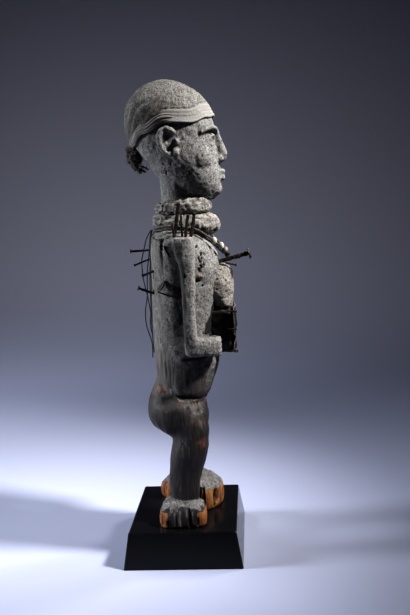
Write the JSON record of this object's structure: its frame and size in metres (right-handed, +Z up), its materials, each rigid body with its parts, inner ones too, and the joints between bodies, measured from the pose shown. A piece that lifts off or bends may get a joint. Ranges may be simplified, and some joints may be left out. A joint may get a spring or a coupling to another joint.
{
  "type": "nkisi figure",
  "caption": "Carved standing power figure with a cloth cap, fibre neck wraps, iron nails, hanging strings and a charge box on its belly, on a black bevelled plinth.",
  "frame": {"origin": "middle of the plinth's underside, on the surface that the work stands on", "axes": "+Z up, the figure faces -Y, +X towards the figure's left hand"},
  "size_m": [0.1508, 0.1541, 0.5342],
  "materials": {
    "lacquer": "black gloss lacquer on wood",
    "carved_wood": "old carved wood under a grey-brown crusted patina, bare and orange-brown at the worn feet",
    "cap_cloth": "matted grey-beige woven cloth stiff with patina",
    "tie_fibre": "twisted plant-fibre strands",
    "wrap_fibre": "fibrous wrapping crusted with pale grey patina",
    "resin": "hard earthy resin paste",
    "box_side": "blackened hide",
    "cover_hide": "blackened stiff hide with a torn edge",
    "neck_cord": "dark greasy cord",
    "back_string": "thin blue-black string",
    "shell": "worn pale shell",
    "iron": "dark rusted wrought iron"
  },
  "bodies": {
    "root": {"plinth": "lacquer", "figure": "carved_wood", "cap": "cap_cloth", "cap_tie_right": "tie_fibre", "cap_tie_left": "tie_fibre", "nape_knot": "tie_fibre", "neck_wrap": "wrap_fibre", "throat_wrap": "wrap_fibre", "necklace_cord_lower": "neck_cord", "necklace_cord_upper": "neck_cord", "shell_1": "shell", "shell_2": "shell", "shell_3": "shell", "pendant": "cover_hide", "chest_charge": "resin", "belly_box": "box_side", "box_cover": "cover_hide", "back_nail_1": "iron", "back_nail_2": "iron", "back_nail_3": "iron", "back_nail_4": "iron", "shoulder_nail_1": "iron", "shoulder_nail_2": "iron", "shoulder_nail_3": "iron", "shoulder_nail_4": "iron", "shoulder_nail_5": "iron", "chest_nail": "iron", "charge_nail": "iron", "box_nail_1": "iron", "box_nail_2": "iron", "box_nail_3": "iron", "flank_blade_upper": "iron", "flank_blade_lower": "iron", "flank_peg": "carved_wood", "shoulder_splinter": "carved_wood", "back_string_1": "back_string", "back_string_2": "back_string", "back_string_3": "back_string", "back_string_4": "back_string"}
  },
  "joints": []
}
